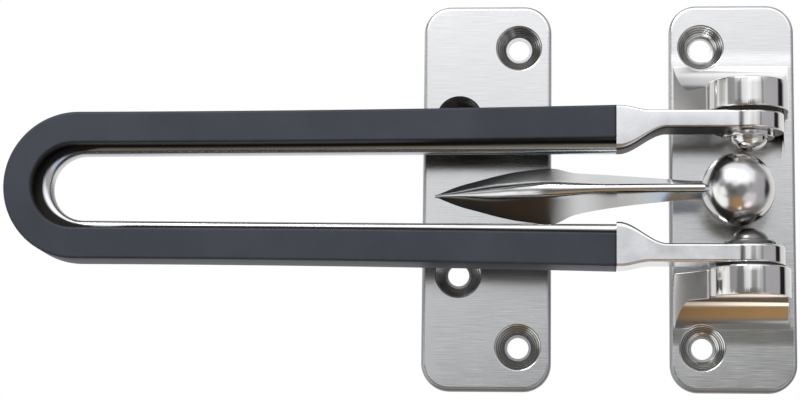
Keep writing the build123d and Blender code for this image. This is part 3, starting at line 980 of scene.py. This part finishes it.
# Patches of the studio, painted one over another: azimuth (0 is the viewer's side, 90 is +X), elevation,
# the angles where the patch is full and where it ends, how flat it counts heights, and its colour
studioPatches = [
    (0, -90, 30, 75, 1, (0.22, 0.18, 0.14)),      # bench below
    (-8, 90, 30, 62, 1, (0.24, 0.25, 0.28)),      # ceiling
    (-10, -16, 22, 44, 1.3, (0.24, 0.24, 0.23)),  # dim room behind the camera
    (62, 2, 26, 44, 0.6, (0.54, 0.53, 0.56)),     # grey wall on the hinge side
    (-12, 45, 32, 45, 1, (1.20, 1.22, 1.27)),     # big soft light, its left part
    (14, 43, 28, 42, 1, (1.25, 1.27, 1.31)),      # big soft light, its right part
    (9, 36, 5, 27, 1, (1.90, 1.90, 1.95)),        # its bright middle
    (-82, 0, 18, 32, 0.8, (1.15, 1.15, 1.15)),    # window on the left
    (-87, -7, 9, 19, 1, (1.60, 1.60, 1.58)),      # its bright lower part
    (-68, -34, 13, 25, 1, (1.45, 1.45, 1.43)),    # low window
    (-49, -9, 8, 15, 1, (1.50, 1.50, 1.48)),      # its nearer part
    (-84, 31, 10, 26, 1, (0.05, 0.05, 0.055)),    # dark corner up on the left
    (-59, 10, 4, 10, 1, (0.40, 0.40, 0.41)),      # the corner's lower end
    (-31, 0, 7, 13, 0.8, (0.24, 0.24, 0.245)),    # dark flag
    (37, 5, 1.5, 6, 0.4, (0.34, 0.34, 0.35)),     # thin dark post
    (-33, -9, 5, 13, 1.2, (0.17, 0.17, 0.16)),    # dark behind the camera, its left end
    (-19, -15, 5, 15, 1.2, (0.14, 0.145, 0.13)),  # dark behind the camera
    (40, -34, 12, 26, 1, (0.95, 0.92, 0.94)),     # pale wall low on the right
    (-6, -50, 11, 24, 1, (0.52, 0.32, 0.145)),    # wooden bench edge
    (8, -69, 1, 5, 1, (2.4, 2.1, 1.8)),           # small lamp over the bench
    (45, -52, 4, 13, 1, (1.6, 1.45, 1.5)),        # lamp low on the right
    (180, 0, 60, 72, 1, (0.95, 0.95, 0.95)),      # white sheet behind the plates
    (97, 5, 6, 13, 0.5, (0.02, 0.02, 0.022)),     # dark gap on the right
]


def makeFloor():
    # A level square below the part, which no reflection shows
    half = studio["floorSide"] / 2
    corners = [(-half, -half, 0), (half, -half, 0), (half, half, 0), (-half, half, 0)]
    mesh = bpy.data.meshes.new("floor")
    mesh.from_pydata(corners, [], [(0, 1, 2, 3)])
    floor = newObject("floor", mesh)
    floor.location = (0, 0, studio["floor"])
    floor.visible_glossy = False
    material, tree = newMaterial("floorPaint")
    mesh.materials.append(surface(material, studio["floorGrey"], studio["floorRough"], metallic=0.0))


def makeKeyLight():
    # One soft square light up on the left, turned to the part
    lamp = bpy.data.lights.new("keyLight", "AREA")
    lamp.shape = "RECTANGLE"
    lamp.size = lamp.size_y = studio["keySide"]
    lamp.energy = studio["keyPower"]
    light = newObject("keyLight", lamp)
    light.location = studio["keyPlace"]
    ahead = Vector(studio["keyTarget"]) - Vector(studio["keyPlace"])
    light.rotation_euler = ahead.to_track_quat("-Z", "Y").to_euler()
    light.visible_camera = False


def towards(azimuth, elevation):
    # The direction of a studio patch: azimuth 0 is -Y and 90 is +X
    turn, lift = radians(azimuth), radians(elevation)
    return (np.sin(turn) * np.cos(lift), -np.cos(turn) * np.cos(lift), np.sin(lift))


def makeWorld():
    # White to the camera, and to everything else a room: patches on a grey
    world = bpy.data.worlds.new("studioWorld")
    bpy.context.scene.world = world
    world.use_nodes = True
    tree = world.node_tree
    tree.nodes.clear()
    straight = tree.nodes.new("ShaderNodeTexCoord").outputs["Generated"]
    # The directions are bent a little by noise, so that no patch has a drawn edge
    ripple = noise(tree, straight, *studio["rippleNoise"], "Color")
    size = studio["ripple"]
    bend = combine(tree, "MULTIPLY_ADD", ripple, [size] * 3, [-size / 2] * 3)
    direction = combine(tree, "ADD", straight, bend)
    room = studio["grey"]
    for azimuth, elevation, full, ends, flat, colour in studioPatches:
        # Heights count less by the factor flat, which draws the patch out upwards
        squeezed = combine(tree, "MULTIPLY", direction, (1, 1, flat))
        unit = combine(tree, "NORMALIZE", squeezed)
        east, north, up = towards(azimuth, elevation)
        centre = Vector((east, north, up * flat)).normalized()
        near = combine(tree, "DOT_PRODUCT", unit, centre)
        reach = (np.cos(radians(ends)), np.cos(radians(full)))
        room = blend(tree, spread(tree, near, 0.0, 1.0, *reach, "SMOOTHSTEP"), room, colour)
    quiet = tree.nodes.new("ShaderNodeBackground")
    tree.links.new(room, quiet.inputs["Color"])
    quiet.inputs["Strength"].default_value = studio["worldLevel"]
    white = tree.nodes.new("ShaderNodeBackground")
    white.inputs["Color"].default_value = (1, 1, 1, 1)
    mix = tree.nodes.new("ShaderNodeMixShader")
    tree.links.new(tree.nodes.new("ShaderNodeLightPath").outputs["Is Camera Ray"], mix.inputs["Fac"])
    tree.links.new(quiet.outputs[0], mix.inputs[1])
    tree.links.new(white.outputs[0], mix.inputs[2])
    tree.links.new(mix.outputs[0], tree.nodes.new("ShaderNodeOutputWorld").inputs["Surface"])


def makeCamera():
    # The view's axes come from its two directions, squared up and then rolled about the first
    ahead = Vector(view["ahead"]).normalized()
    right = Vector(view["right"]).normalized()
    up = right.cross(ahead).normalized()
    roll = Matrix.Rotation(radians(view["rollDegrees"]), 3, ahead)
    rotation = Matrix((roll @ right, roll @ up, -ahead)).transposed()
    data = bpy.data.cameras.new("photoCamera")
    data.lens = view["lens"]
    data.sensor_width = view["sensor"]
    data.sensor_fit = "HORIZONTAL"
    data.clip_start = view["nearest"]
    camera = newObject("photoCamera", data)
    camera.matrix_world = Matrix.Translation(Vector(view["place"])) @ rotation.to_4x4()
    bpy.context.scene.camera = camera


makeWorld()
makeCamera()
makeFloor()
makeKeyLight()
bpy.context.scene.view_settings.view_transform = "Standard"
print("studio made")
